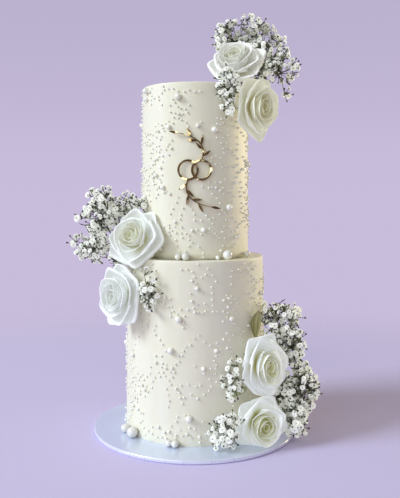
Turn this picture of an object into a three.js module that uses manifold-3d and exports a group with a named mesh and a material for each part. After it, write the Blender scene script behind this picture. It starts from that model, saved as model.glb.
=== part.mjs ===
// A two-tier wedding cake on its round foil-covered board. Each tier is a tall cylinder of cake under
// smooth buttercream, set with sugar pearls in short meandering strings. White roses and sprays of
// baby's breath are pinned to it in three places, loose pearls lie on the ledge and on the board, and a
// cut-out ornament of gold mirror acrylic, two linked rings on a sprig, sits at the front of the upper tier.
// Millimetres, +Z up, the origin at the centre of the board's underside, the front towards -Y.
import * as THREE from "three";
import { mergeVertices } from "three/addons/utils/BufferGeometryUtils.js";
import Module from "manifold-3d";

const wasm = await Module();
wasm.setup();

// ---- Driving dimensions -------------------------------------------------------------------------

const GAP = 0.3; // air between pieces that touch along curved or turned faces
const BOARD = { radius: 152.4, thickness: 6, rounding: 1, sides: 60 };
const LOWER = { foot: 104.2, rim: 102.6, bottom: BOARD.thickness, height: 255, seed: 1913, strings: [18, 6] };
const UPPER = {
  foot: 80.2, rim: 79.8, bottom: LOWER.bottom + LOWER.height, height: 252, seed: 4057, strings: [14, 6],
};
const TIER_SIDES = 60;
const RIM = { rounding: 2.2, steps: 2 };

// Sugar pearls on the tiers' sides: the share of them that is at least this large
const PEARL_KINDS = [
  { radius: 4.6, share: 0.018 },
  { radius: 3.4, share: 0.06 },
  { radius: 2.2, share: 0.17 },
  { radius: 1.5, share: 1 },
];
const PEARL = { least: 0.92, spread: 0.16, spacing: 1.2, sunk: 0.3, edge: 1 };
const STRING = { fewest: 6, most: 13, shortest: 4.8, longest: 9.5, turn: 2.4 };
const SOLID_PEARLS = 26; // how many of a tier's pearls its solid holds, the largest first
const FLOWER_MARGIN = { bloom: 3, bunch: 11 }; // air from those pearls to the flowers

// Loose pearls that lie by a tier's foot: azimuth from the front towards +X, radius, air to the wall
const LOOSE_PEARLS = {
  board_pearl: [
    [-52.8, 8, 0.3], [-65.5, 6.6, 1], [-19.4, 4.7, 0.3], [-14.3, 5.2, 1], [150, 7.4, 0.3], [159.5, 5.2, 1.5],
  ],
  ledge_pearl: [
    [-16.5, 4.4, 0.3], [-8.6, 5.4, 2.5], [31.4, 6.9, 2], [22.6, 3.3, 1], [64, 4.8, 0.3], [118, 6.2, 0.5],
  ],
};

// Roses: where the bloom's base is, which way it faces (azimuth, elevation), its size and its turn
const ROSES = [
  { name: "rose_top_back", base: [65, -32, 536], facing: [-18, 40], radius: 40, height: 40, spin: 0.3 },
  { name: "rose_top_front", base: [80, -50, 479], facing: [40, -4], radius: 42, height: 40, spin: 1.1 },
  { name: "rose_left_upper", base: [-76, -51, 285], facing: [-30, 12], radius: 41, height: 42, spin: 0.7 },
  { name: "rose_left_lower", base: [-97, -61, 209], facing: [-43, -3], radius: 38, height: 38, spin: 2 },
  { name: "rose_right_upper", base: [89, -72, 115], facing: [37, 1], radius: 40, height: 40, spin: 0.2 },
  { name: "rose_right_lower", base: [87, -71, 42], facing: [22, -5], radius: 37, height: 40, spin: 1.5 },
];
const ROSE_PAIRS = [[0, 1], [2, 3], [4, 5]]; // the blooms that press against each other

// A bloom's rings of petals from the outside in, as shares of its radius and height: how far out and up the
// petals' lips reach, and the dip between them and the next ring
const PETAL_RINGS = [
  { petals: 5, out: 1, up: 0.5, wave: 0.1, dip: [0.76, 0.42] },
  { petals: 5, out: 0.8, up: 0.8, wave: 0.09, dip: [0.55, 0.58] },
  { petals: 4, out: 0.55, up: 0.95, wave: 0.08, dip: [0.32, 0.68] },
  { petals: 3, out: 0.3, up: 1, wave: 0.08, dip: [0.1, 0.8] },
];
const CALYX = [[0.12, -0.02], [0.5, 0.08]]; // under the petals
const LIP = { inward: 0.06, drop: 0.13, peak: 0.42, turn: 0.37 };
const ROSE_EYE = 0.9; // share of the height
const ROSE_SIDES = 20;
const ROSE_STEM = { radius: 3.2, sides: 6, length: 45, sunk: 1 };
const BLOOM_ROOM = { across: 1.06, middle: 0.5, half: 0.56, sides: 10 };

// Baby's breath: a bunch is a mass of lumps, a lump has hubs in it, and a hub carries a panicle of florets
const HUB = { nearest: 0.3, reach: 0.5, florets: 6, more: 4 };
const FAN = { any: 0.9, side: 0.6, away: 0.5 }; // what a floret's direction is mixed from
const FLORET = {
  radius: 4.5, least: 0.78, spread: 0.34, dome: 2.2, sides: 5, nearest: 7, reach: 10, spacing: 6.2,
};
const FLORET_AIR = { wall: 1.5, floor: 0.5 };
const CORE_SHARE = 0.8; // of a lump's radii
const BUNCH_STEM = { radius: 2.2, sides: 4 };
const BUNCHES = [
  {
    name: "babys_breath_top", seed: 71, root: [66, -8, 505], shown: 34,
    lumps: [
      { at: [66, 16, 596], radii: [34, 20, 42], hubs: 14 },
      { at: [104, 14, 586], radii: [32, 20, 37], hubs: 13 },
      { at: [132, 6, 542], radii: [22, 18, 35], hubs: 10 },
    ],
  },
  {
    name: "babys_breath_top_front", seed: 83, root: [48, -58, 505], shown: 12,
    lumps: [{ at: [49, -80, 503], radii: [22, 10, 33], hubs: 10 }],
  },
  {
    name: "babys_breath_left", seed: 97, root: [-90, -28, 252], shown: 32,
    lumps: [
      { at: [-145, -42, 320], radii: [36, 28, 40], hubs: 15 },
      { at: [-154, -46, 276], radii: [30, 26, 24], hubs: 9 },
      { at: [-118, -30, 322], radii: [26, 22, 32], hubs: 8 },
    ],
  },
  {
    name: "babys_breath_left_wall", seed: 101, root: [-66, -38, 320], shown: 5,
    lumps: [{ at: [-79, -46, 338], radii: [10, 8, 9], hubs: 3 }],
  },
  {
    name: "babys_breath_left_front", seed: 113, root: [-62, -76, 246], shown: 9,
    lumps: [{ at: [-64, -98, 221], radii: [13, 10, 30], hubs: 6 }],
  },
  {
    name: "babys_breath_right", seed: 127, root: [90, -34, 112], shown: 38,
    lumps: [
      { at: [123, -48, 174], radii: [34, 22, 24], hubs: 12 },
      { at: [146, -46, 126], radii: [23, 24, 36], hubs: 10 },
      { at: [153, -50, 72], radii: [28, 26, 37], hubs: 13 },
      { at: [141, -63, 34], radii: [23, 26, 30], hubs: 10 },
    ],
  },
  {
    name: "babys_breath_right_middle", seed: 131, root: [50, -82, 92], shown: 8,
    lumps: [{ at: [52, -104, 100], radii: [16, 9, 27], hubs: 8 }],
  },
  {
    name: "babys_breath_right_low", seed: 149, root: [42, -86, 34], shown: 10,
    lumps: [{ at: [44, -119, 32], radii: [22, 16, 24], hubs: 9 }],
  },
];

// Rose leaves: foot, direction, length, width, how far they arch, and their turn
const LEAVES = [
  {
    name: "leaf_right_top",
    foot: [86, -71, 150], facing: [30, 80], length: 40, width: 15, arch: 5, spin: 0.3,
  },
  {
    name: "leaf_right_middle",
    foot: [72, -84, 82], facing: [-42, -12], length: 34, width: 14, arch: 4, spin: 0.4,
  },
];
const BLADE = {
  columns: 2, rows: 6, thickness: 0.9, blunt: 0.04, fullness: 0.8, ripple: 1.2, ripples: 7, fold: 1.8,
};

// The ornament: two linked rings in the bend of a leafy sprig, cut from one sheet. The sprig's upper half
// runs along a curve through `course`, and its lower half is the same, turned half round.
const ORNAMENT = {
  height: 388, thickness: 2.5,
  ring: { offset: 9.6, outer: 15, inner: 12, segments: 14 },
  stem: { course: [[9.6, 13.5], [21, 44], [-23, 52]], width: 2.2, taper: 0.6, segments: 5 },
  leaf: { count: 6, length: 15, width: 7, widest: 0.45, splay: 38, segments: 2, back: 0.08, tipBack: 0.01 },
  leafRoom: 11, // round the stem
};

// What flowers are trimmed by
const CUTTER_SIDES = 36;
const CUTTER_REACH = 300;

const BUTTERCREAM = { color: 0xf3efe4, roughness: 0.5, metalness: 0 };
const SUGAR_PEARL = { color: 0xeeebe4, roughness: 0.22, metalness: 0.1 };
const PETAL = { color: 0xf4f5ee, roughness: 0.6, metalness: 0 };
const FLORETS = { color: 0xe9ede2, roughness: 0.75, metalness: 0 };
const LEAF = { color: 0x8c9a5c, roughness: 0.6, metalness: 0 };
const GOLD = { color: 0xb8935a, roughness: 0.12, metalness: 1 };
const FOIL = { color: 0xdfe3ee, roughness: 0.25, metalness: 0.1 };

const cake = new THREE.Group();

// ---- Solids -------------------------------------------------------------------------------------

// A seeded draw of numbers from 0 to 1, the same every time.
function dice(seed) {
  let state = seed;
  return () => {
    state = (state * 16807) % 2147483647;
    return state / 2147483647;
  };
}

// A closed geometry as a solid, placed by an optional matrix.
function solid(geometry, matrix = new THREE.Matrix4()) {
  const bare = geometry.clone().applyMatrix4(matrix);
  bare.deleteAttribute("normal");
  bare.deleteAttribute("uv");
  const merged = mergeVertices(bare, 1e-4);
  const vertProperties = merged.attributes.position.array;
  const triVerts = new Uint32Array(merged.index.array);
  return new wasm.Manifold(new wasm.Mesh({ numProp: 3, vertProperties, triVerts }));
}

function geometryOf(made) {
  const { vertProperties, triVerts } = made.getMesh();
  const geometry = new THREE.BufferGeometry();
  geometry.setAttribute("position", new THREE.BufferAttribute(vertProperties, 3));
  geometry.setIndex(new THREE.BufferAttribute(triVerts, 1));
  return geometry;
}

// A closed surface from a list of corner coordinates and a list of triangles.
function skin(points, index) {
  const geometry = new THREE.BufferGeometry();
  geometry.setAttribute("position", new THREE.Float32BufferAttribute(points, 3));
  return geometry.setIndex(index);
}

function fuse(pieces) {
  return pieces.reduce((whole, piece) => whole.add(piece));
}

// The largest body of a solid, without the scraps that a cut leaves.
function largest(made) {
  return made.decompose().sort((a, b) => b.volume() - a.volume())[0];
}

// Adds a solid to the cake as a named mesh, after a last weld that drops the slivers a cut leaves.
function addNode(name, made, finish) {
  const tidy = geometryOf(largest(solid(geometryOf(made))));
  const mesh = new THREE.Mesh(tidy, new THREE.MeshStandardMaterial({ ...finish, flatShading: true }));
  mesh.name = name;
  cake.add(mesh);
}

// A body turned about +Z from [radius, height] pairs that start and end on the axis.
function turned(profile, sides) {
  const points = profile.map(([radius, height]) => new THREE.Vector2(radius, height));
  return new THREE.LatheGeometry(points, sides).rotateX(Math.PI / 2);
}

// A unit vector: azimuth 0 faces the front (-Y) and 90 faces +X; elevation is above the horizon.
function heading(azimuth, elevation) {
  const a = THREE.MathUtils.degToRad(azimuth);
  const e = THREE.MathUtils.degToRad(elevation);
  return new THREE.Vector3(Math.sin(a) * Math.cos(e), -Math.cos(a) * Math.cos(e), Math.sin(e));
}

// The frame at `at` whose +Z points along `facing`, turned by `spin` about its own +Z.
function frameAt(at, facing, spin = 0) {
  const up = new THREE.Vector3(0, 0, 1);
  const turn = new THREE.Quaternion().setFromUnitVectors(up, facing.clone().normalize());
  turn.multiply(new THREE.Quaternion().setFromAxisAngle(up, spin));
  return new THREE.Matrix4().compose(at, turn, new THREE.Vector3(1, 1, 1));
}

// A straight rod between two points.
function rod(from, to, { radius, sides }) {
  const along = to.clone().sub(from);
  const shaft = new THREE.CylinderGeometry(radius, radius, along.length(), sides).rotateX(Math.PI / 2);
  return solid(shaft, frameAt(from.clone().add(to).multiplyScalar(0.5), along));
}

// A box that fills everything beyond the plane through `point` with the normal `normal`.
function beyond(point, normal) {
  const box = new THREE.BoxGeometry(CUTTER_REACH, CUTTER_REACH, CUTTER_REACH);
  return solid(box.translate(0, 0, CUTTER_REACH / 2), frameAt(point, normal));
}

// ---- Board and tiers ----------------------------------------------------------------------------

function boardSolid() {
  const { radius, thickness, rounding, sides } = BOARD;
  const edge = [[radius, 0], [radius, thickness - rounding], [radius - rounding, thickness]];
  return solid(turned([[0, 0], ...edge, [0, thickness]], sides));
}

// A tier's radius at a height: it narrows a little from its foot to its rim.
function tierRadius(tier, z) {
  return tier.foot + ((tier.rim - tier.foot) * (z - tier.bottom)) / tier.height;
}

// A turned cutter that takes in a cylinder or cone of these radii.
function drum(foot, rim, bottom, top) {
  const grow = 1 / Math.cos(Math.PI / CUTTER_SIDES);
  return solid(turned([[0, bottom], [foot * grow, bottom], [rim * grow, top], [0, top]], CUTTER_SIDES));
}

// The room that a tier takes, with the air that its neighbours keep.
function tierRoom({ foot, rim, bottom, height }) {
  return drum(foot + GAP, rim + GAP, bottom - GAP, bottom + height + GAP);
}

function insideTier(point, margin) {
  return [LOWER, UPPER].some((tier) => {
    const top = tier.bottom + tier.height + margin;
    return point.z < top && Math.hypot(point.x, point.y) < tierRadius(tier, point.z) + margin;
  });
}

// ---- Roses --------------------------------------------------------------------------------------

// The egg-shaped room that a bloom takes, as a unit sphere's matrix.
function bloomEgg({ base, facing, radius, height }, margin = 0) {
  const { across, middle, half } = BLOOM_ROOM;
  const egg = frameAt(new THREE.Vector3(...base), heading(...facing));
  egg.multiply(new THREE.Matrix4().makeTranslation(0, 0, middle * height));
  const wide = across * radius + margin;
  return egg.scale(new THREE.Vector3(wide, wide, half * height + margin));
}

function insideBloom(point, margin) {
  return ROSES.some((rose) => point.clone().applyMatrix4(bloomEgg(rose, margin).invert()).length() < 1);
}

// The rings of points that a bloom's skin runs through, from under its base to its eye.
function bloomRings() {
  const calyx = CALYX.map(([out, up]) => ({ out, up, petals: 1, wave: 0, order: 0 }));
  const petals = PETAL_RINGS.flatMap(({ dip, ...ring }, order) => [
    { ...ring, order, up: ring.up - LIP.drop },
    { ...ring, order, out: ring.out - LIP.inward },
    { ...ring, order, out: dip[0], up: dip[1] },
  ]);
  return [...calyx, ...petals];
}

// How far a ring's petals stand out at an angle: each one swells and then steps in under the next.
function petalWave({ petals, wave, order }, angle) {
  const turn = (angle / (2 * Math.PI)) * petals + order * LIP.turn;
  const share = turn - Math.floor(turn);
  return 1 + wave * (0.5 - 2 * Math.abs(share - LIP.peak));
}

function roseSolid(rose) {
  const rings = bloomRings();
  const points = [0, 0, CALYX[0][1] * rose.height];
  for (const ring of rings) {
    for (let k = 0; k < ROSE_SIDES; k++) {
      const angle = (k / ROSE_SIDES) * 2 * Math.PI;
      const out = rose.radius * ring.out * petalWave(ring, angle);
      points.push(out * Math.cos(angle), out * Math.sin(angle), rose.height * ring.up);
    }
  }
  points.push(0, 0, ROSE_EYE * rose.height);
  const eye = points.length / 3 - 1;
  const at = (ring, k) => 1 + ring * ROSE_SIDES + (k % ROSE_SIDES);
  const index = [];
  for (let k = 0; k < ROSE_SIDES; k++) {
    index.push(0, at(0, k + 1), at(0, k));
    for (let ring = 0; ring < rings.length - 1; ring++) {
      index.push(at(ring, k), at(ring, k + 1), at(ring + 1, k + 1));
      index.push(at(ring, k), at(ring + 1, k + 1), at(ring + 1, k));
    }
    index.push(at(rings.length - 1, k), at(rings.length - 1, k + 1), eye);
  }
  const { radius, sides, length, sunk } = ROSE_STEM;
  const stem = new THREE.CylinderGeometry(radius, radius, length, sides).rotateX(Math.PI / 2);
  const bloom = solid(skin(points, index)).add(solid(stem.translate(0, 0, sunk - length / 2)));
  const place = frameAt(new THREE.Vector3(...rose.base), heading(...rose.facing), rose.spin);
  return bloom.transform(place.elements);
}

// The room that a bloom and its stem take, turned about the bloom's middle line.
function bloomRoom({ base, facing, radius, height }) {
  const grow = 1 / Math.cos(Math.PI / BLOOM_ROOM.sides);
  const stem = ROSE_STEM.radius + GAP;
  const wide = radius + 2 * GAP;
  const [lip, crown] = PETAL_RINGS;
  const profile = [
    [0, -ROSE_STEM.length - 1],
    [stem, -ROSE_STEM.length - 1],
    [stem, -CALYX[1][1] * height],
    [wide * (1 + lip.wave / 2), CALYX[1][1] * height],
    [wide * (1 + lip.wave / 2), lip.up * height + 2 * GAP],
    [wide * crown.out * (1 + crown.wave / 2), height + 2 * GAP],
    [0, height + 2 * GAP],
  ];
  const room = turned(profile.map(([out, up]) => [out * grow, up]), BLOOM_ROOM.sides);
  return solid(room, frameAt(new THREE.Vector3(...base), heading(...facing)));
}

// Cuts two blooms apart by the plane half way between their middles.
function splitBlooms(blooms, [a, b]) {
  const [one, other] = [a, b].map((k) => new THREE.Vector3().applyMatrix4(bloomEgg(ROSES[k])));
  const across = other.clone().sub(one).normalize();
  const half = one.add(other).multiplyScalar(0.5);
  const shift = across.clone().multiplyScalar(GAP / 2);
  blooms[a] = blooms[a].subtract(beyond(half.clone().sub(shift), across));
  blooms[b] = blooms[b].subtract(beyond(half.clone().add(shift), across.negate()));
}

// ---- Baby's breath ------------------------------------------------------------------------------

// A direction drawn evenly from the sphere.
function anyDirection(roll) {
  const z = 2 * roll() - 1;
  const turn = 2 * Math.PI * roll();
  const flat = Math.sqrt(1 - z * z);
  return new THREE.Vector3(flat * Math.cos(turn), flat * Math.sin(turn), z);
}

// Whether a floret is clear of the tiers, the blooms and the board or the floor.
function floretFits(at, radius) {
  const overBoard = Math.hypot(at.x, at.y) < BOARD.radius + radius + FLORET_AIR.wall;
  const floor = (overBoard ? BOARD.thickness : 0) + radius + FLORET_AIR.floor;
  return at.z > floor && !insideTier(at, radius + FLORET_AIR.wall) && !insideBloom(at, radius);
}

// Every floret of a bunch, as { at, radius, hub, middle }.
function floretsOf(bunch) {
  const roll = dice(bunch.seed);
  const root = new THREE.Vector3(...bunch.root);
  const florets = [];
  for (const lump of bunch.lumps) {
    const middle = new THREE.Vector3(...lump.at);
    for (let h = 0; h < lump.hubs; h++) {
      const side = anyDirection(roll);
      const reach = HUB.nearest + HUB.reach * Math.sqrt(roll());
      const hub = side.clone().multiply(new THREE.Vector3(...lump.radii)).multiplyScalar(reach).add(middle);
      const away = hub.clone().sub(root).normalize();
      const count = HUB.florets + Math.floor(HUB.more * roll());
      for (let k = 0; k < count; k++) {
        const out = anyDirection(roll).multiplyScalar(FAN.any);
        out.addScaledVector(side, FAN.side).addScaledVector(away, FAN.away).normalize();
        const at = hub.clone().addScaledVector(out, FLORET.nearest + FLORET.reach * roll());
        const radius = FLORET.radius * (FLORET.least + FLORET.spread * roll());
        if (floretFits(at, radius) && florets.every((other) => other.at.distanceTo(at) > FLORET.spacing)) {
          florets.push({ at, radius, hub, middle });
        }
      }
    }
  }
  return florets;
}

// A bunch as one body: a core for each lump, a stem to each from the root, a twig from each to the next,
// and as many florets as it shows.
function bunchSolid(bunch, room) {
  const root = new THREE.Vector3(...bunch.root);
  const cores = bunch.lumps.map(({ at, radii }) => {
    const place = new THREE.Matrix4().makeTranslation(...at);
    place.scale(new THREE.Vector3(...radii).multiplyScalar(CORE_SHARE));
    return solid(new THREE.IcosahedronGeometry(1, 0), place);
  });
  const middles = bunch.lumps.map(({ at }) => new THREE.Vector3(...at));
  const stems = middles.map((middle) => rod(root, middle, BUNCH_STEM));
  const twigs = middles.slice(1).map((middle, k) => rod(middles[k], middle, BUNCH_STEM));
  const florets = floretsOf(bunch);
  const flowers = Array.from({ length: bunch.shown }, (_, k) => {
    const { at, radius, hub, middle } = florets[Math.floor((k * florets.length) / bunch.shown)];
    const foot = hub.clone().lerp(middle, 0.5);
    const profile = [[0, -at.distanceTo(foot)], [radius, 0], [0, FLORET.dome]];
    return solid(turned(profile, FLORET.sides), frameAt(at, at.clone().sub(foot)));
  });
  return largest(fuse([...cores, ...stems, ...twigs, ...flowers]).subtract(room));
}

// ---- Pearls -------------------------------------------------------------------------------------

// Every loose pearl, as { name, at, radius }, lying on the board or on the ledge.
const loosePearls = Object.entries(LOOSE_PEARLS).flatMap(([name, pearls]) => {
  const tier = name === "board_pearl" ? LOWER : UPPER;
  return pearls.map(([azimuth, radius, air], order) => {
    const at = heading(azimuth, 0).multiplyScalar(tier.foot + radius + air);
    at.z = tier.bottom + radius;
    return { name: `${name}_${order + 1}`, at, radius };
  });
});

// The ornament's stem as a curve in its own plane; `side` is 1 for its upper half and -1 for its lower.
function stemCurve(side) {
  const points = ORNAMENT.stem.course.map(([x, z]) => new THREE.Vector2(side * x, side * z));
  return new THREE.QuadraticBezierCurve(...points);
}

// Whether a pearl on the wall would stand in the way of the ornament.
function underOrnament(at, radius) {
  const { ring, stem, leafRoom, height } = ORNAMENT;
  const spot = new THREE.Vector2(at.x, at.z - height);
  const clear = radius + GAP;
  return at.y < 0 && [-1, 1].some((side) => {
    const fromMiddle = spot.distanceTo(new THREE.Vector2(side * ring.offset, 0));
    const onRing = fromMiddle > ring.inner - clear && fromMiddle < ring.outer + clear;
    const fromStem = stemCurve(side).getPoints(stem.segments).map((point) => point.distanceTo(spot));
    return onRing || Math.min(...fromStem) < leafRoom + clear;
  });
}

// Every pearl on a tier's side, as { at, radius }: strings that start on a jittered grid and wander.
function pearlsOn(tier) {
  const roll = dice(tier.seed);
  const [columns, rows] = tier.strings;
  const top = tier.bottom + tier.height - RIM.rounding;
  const pearls = [];
  for (let place = 0; place < rows * columns; place++) {
    const [row, column] = [Math.floor(place / columns), place % columns];
    let along = ((column + 0.5 * (row % 2) + roll()) / columns) * 2 * Math.PI * tier.foot;
    let z = tier.bottom + ((row + roll()) / rows) * tier.height;
    let course = 2 * Math.PI * roll();
    const count = STRING.fewest + Math.floor(roll() * (STRING.most - STRING.fewest + 1));
    for (let k = 0; k < count; k++) {
      const draw = roll();
      const kind = PEARL_KINDS.find(({ share }) => draw < share);
      const radius = kind.radius * (PEARL.least + PEARL.spread * roll());
      const reach = tierRadius(tier, z) + radius * (1 - PEARL.sunk);
      const angle = along / tier.foot;
      const at = new THREE.Vector3(reach * Math.cos(angle), reach * Math.sin(angle), z);
      const onWall = z > tier.bottom + radius + PEARL.edge && z < top - radius;
      const apart = [...pearls, ...loosePearls].every(
        (other) => other.at.distanceTo(at) > radius + other.radius + PEARL.spacing,
      );
      if (onWall && apart && !underOrnament(at, radius)) {
        pearls.push({ at, radius });
      }
      const step = STRING.shortest + roll() * (STRING.longest - STRING.shortest) + radius;
      course += STRING.turn * (roll() - 0.5);
      along += step * Math.cos(course);
      z += step * Math.sin(course);
    }
  }
  return pearls;
}

// Whether a pearl is clear of the blooms and of the bunches' lumps.
function clearOfFlowers({ at, radius }) {
  const insideLump = (lump) => {
    const away = at.clone().sub(new THREE.Vector3(...lump.at));
    const [x, y, z] = lump.radii.map((r) => r + radius + FLOWER_MARGIN.bunch);
    return Math.hypot(away.x / x, away.y / y, away.z / z) < 1;
  };
  const inBunch = BUNCHES.some(({ lumps }) => lumps.some(insideLump));
  return !inBunch && !insideBloom(at, radius + FLOWER_MARGIN.bloom);
}

function tierSolid(tier) {
  const { foot, rim, bottom, height } = tier;
  const top = bottom + height;
  const edge = Array.from({ length: RIM.steps + 1 }, (_, k) => {
    const turn = (k / RIM.steps) * (Math.PI / 2);
    return [rim - RIM.rounding * (1 - Math.cos(turn)), top - RIM.rounding * (1 - Math.sin(turn))];
  });
  const body = solid(turned([[0, bottom], [foot, bottom], ...edge, [0, top]], TIER_SIDES));
  const beads = pearlsOn(tier).filter(clearOfFlowers).sort((a, b) => b.radius - a.radius);
  return fuse([body, ...beads.slice(0, SOLID_PEARLS).map((bead) => ball(bead, 0))]);
}

// A faceted ball; `detail` is how often its twenty faces are split.
function ball({ at, radius }, detail) {
  return solid(new THREE.IcosahedronGeometry(radius, detail).translate(at.x, at.y, at.z));
}

// ---- Leaves -------------------------------------------------------------------------------------

// A thin wavy leaf: two faces split alike and joined round their edge, folded and arched along its length.
function leafSolid({ foot, facing, length, width, arch, spin }) {
  const { columns, rows, thickness, blunt, fullness, ripple, ripples, fold } = BLADE;
  const points = [];
  for (const face of [0.5, -0.5]) {
    for (let j = 0; j <= rows; j++) {
      for (let i = 0; i <= columns; i++) {
        const [u, v] = [(2 * i) / columns - 1, j / rows];
        const half = (width / 2) * Math.sin(Math.PI * (blunt + (1 - 2 * blunt) * v)) ** fullness;
        const bend = arch * Math.sin(Math.PI * v) + ripple * Math.sin(ripples * v) * u - fold * Math.abs(u);
        points.push(u * half, bend + face * thickness, v * length);
      }
    }
  }
  const index = [];
  const at = (i, j, face) => (face * (rows + 1) + j) * (columns + 1) + i;
  const quad = (a, b, c, d) => index.push(a, b, c, a, c, d);
  for (let j = 0; j < rows; j++) {
    for (let i = 0; i < columns; i++) {
      quad(at(i, j, 0), at(i, j + 1, 0), at(i + 1, j + 1, 0), at(i + 1, j, 0));
      quad(at(i, j, 1), at(i + 1, j, 1), at(i + 1, j + 1, 1), at(i, j + 1, 1));
    }
    quad(at(0, j, 1), at(0, j + 1, 1), at(0, j + 1, 0), at(0, j, 0));
    quad(at(columns, j, 0), at(columns, j + 1, 0), at(columns, j + 1, 1), at(columns, j, 1));
  }
  for (let i = 0; i < columns; i++) {
    quad(at(i, 0, 0), at(i + 1, 0, 0), at(i + 1, 0, 1), at(i, 0, 1));
    quad(at(i, rows, 1), at(i + 1, rows, 1), at(i + 1, rows, 0), at(i, rows, 0));
  }
  return solid(skin(points, index), frameAt(new THREE.Vector3(...foot), heading(...facing), spin));
}

// ---- Ornament -----------------------------------------------------------------------------------

// A shape cut from the ornament's sheet.
function plate(shape, curveSegments) {
  const cut = { depth: ORNAMENT.thickness, bevelEnabled: false, curveSegments };
  return solid(new THREE.ExtrudeGeometry(shape, cut));
}

function ringPlate(side) {
  const { offset, outer, inner, segments } = ORNAMENT.ring;
  const band = new THREE.Shape().absarc(side * offset, 0, outer, 0, 2 * Math.PI);
  band.holes.push(new THREE.Path().absarc(side * offset, 0, inner, 0, 2 * Math.PI, true));
  return plate(band, segments);
}

// Half of the sprig's stem, which tapers to its tip.
function stemPlate(curve) {
  const { width, taper, segments } = ORNAMENT.stem;
  const shares = Array.from({ length: segments + 1 }, (_, k) => k / segments);
  const edge = (share, way) => {
    const along = curve.getTangent(share);
    const out = (way * width * (1 - taper * share)) / 2;
    return curve.getPoint(share).add(new THREE.Vector2(-along.y * out, along.x * out));
  };
  const right = shares.map((share) => edge(share, -1));
  const left = shares.reverse().map((share) => edge(share, 1));
  return plate(new THREE.Shape([...right, ...left]));
}

// The leaves along half of the sprig, to the left and right in turn, with one at its tip.
function leafPlates(curve) {
  const { count, length, width, widest, splay, segments, back, tipBack } = ORNAMENT.leaf;
  const blade = new THREE.Shape().quadraticCurveTo(widest * length, width, length, 0);
  blade.quadraticCurveTo(widest * length, -width, 0, 0);
  return Array.from({ length: count }, (_, k) => {
    const tip = k === count - 1;
    const share = (k + 1) / count - (tip ? tipBack : back);
    const turn = tip ? 0 : (k % 2 ? 1 : -1) * THREE.MathUtils.degToRad(splay);
    const foot = curve.getPoint(share);
    const place = new THREE.Matrix4().makeRotationZ(curve.getTangent(share).angle() + turn);
    return plate(blade, segments).transform(place.setPosition(foot.x, foot.y, 0).elements);
  });
}

function ornamentSolid() {
  const pieces = [-1, 1].flatMap((side) => {
    const curve = stemCurve(side);
    return [ringPlate(side), stemPlate(curve), ...leafPlates(curve)];
  });
  const upright = new THREE.Matrix4().makeRotationX(Math.PI / 2);
  upright.setPosition(0, -UPPER.foot - GAP, ORNAMENT.height);
  return fuse(pieces).transform(upright.elements);
}

// ---- The cake -----------------------------------------------------------------------------------

addNode("cake_board", boardSolid(), FOIL);
addNode("lower_tier", tierSolid(LOWER), BUTTERCREAM);
addNode("upper_tier", tierSolid(UPPER), BUTTERCREAM);
addNode("gold_ornament", ornamentSolid(), GOLD);
for (const pearl of loosePearls) {
  addNode(pearl.name, ball(pearl, 1), SUGAR_PEARL);
}

const boardRoom = drum(BOARD.radius + GAP, BOARD.radius + GAP, -BOARD.thickness, BOARD.thickness + GAP);
const floorRoom = beyond(new THREE.Vector3(0, 0, GAP), new THREE.Vector3(0, 0, -1));
const cakeRoom = fuse([tierRoom(LOWER), tierRoom(UPPER), boardRoom, floorRoom]);
const blooms = ROSES.map(roseSolid);
ROSE_PAIRS.forEach((pair) => splitBlooms(blooms, pair));
ROSES.forEach((rose, k) => addNode(rose.name, largest(blooms[k].subtract(cakeRoom)), PETAL));

const leaves = LEAVES.map(leafSolid);
const bunchRoom = fuse([cakeRoom, ...ROSES.map(bloomRoom), ...leaves]);
for (const bunch of BUNCHES) {
  addNode(bunch.name, bunchSolid(bunch, bunchRoom), FLORETS);
}
LEAVES.forEach(({ name }, k) => addNode(name, leaves[k], LEAF));

export default cake;
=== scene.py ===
"""A two-tier wedding cake on its foil-covered board: pearled buttercream, a gold ornament, white roses
and baby's breath, standing on a pale studio floor. Pieces are modelled in millimetres and turned into
metres as they are finished. The front of the cake faces -Y."""
import math

import bmesh
import bpy
import numpy
from mathutils import Matrix, Quaternion, Vector, noise


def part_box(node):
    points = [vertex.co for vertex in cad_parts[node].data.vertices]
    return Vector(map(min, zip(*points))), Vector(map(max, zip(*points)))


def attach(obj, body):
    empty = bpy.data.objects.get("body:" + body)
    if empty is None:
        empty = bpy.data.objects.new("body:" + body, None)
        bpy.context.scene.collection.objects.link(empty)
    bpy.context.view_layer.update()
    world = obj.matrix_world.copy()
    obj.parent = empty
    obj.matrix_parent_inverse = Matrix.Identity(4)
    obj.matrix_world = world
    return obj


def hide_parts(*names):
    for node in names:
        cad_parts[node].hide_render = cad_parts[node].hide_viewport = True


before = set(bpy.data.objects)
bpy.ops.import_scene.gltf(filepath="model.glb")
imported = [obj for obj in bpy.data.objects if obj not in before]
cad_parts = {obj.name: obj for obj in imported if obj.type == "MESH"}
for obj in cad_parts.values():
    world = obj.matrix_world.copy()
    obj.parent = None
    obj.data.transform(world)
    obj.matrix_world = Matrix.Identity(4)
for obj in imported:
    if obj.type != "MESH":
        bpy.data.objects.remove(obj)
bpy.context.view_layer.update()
scene = bpy.context.scene

# ---- Camera --------------------------------------------------------------------------------------
# A normal lens about a metre in front of the cake, held level at the height of the upper tier's lower
# third, so that upright edges stay parallel. The shift lowers the frame to take in the board.

SENSOR = 36
PICTURE = {"height": 498, "focal": 677.5, "horizon": 195.3}  # in pixels
EYE = (0.0073, -1.036, 0.3523)


def placed(name, data):
    """A new object in the scene, at the origin."""
    made = bpy.data.objects.new(name, data)
    scene.collection.objects.link(made)
    return made


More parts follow.
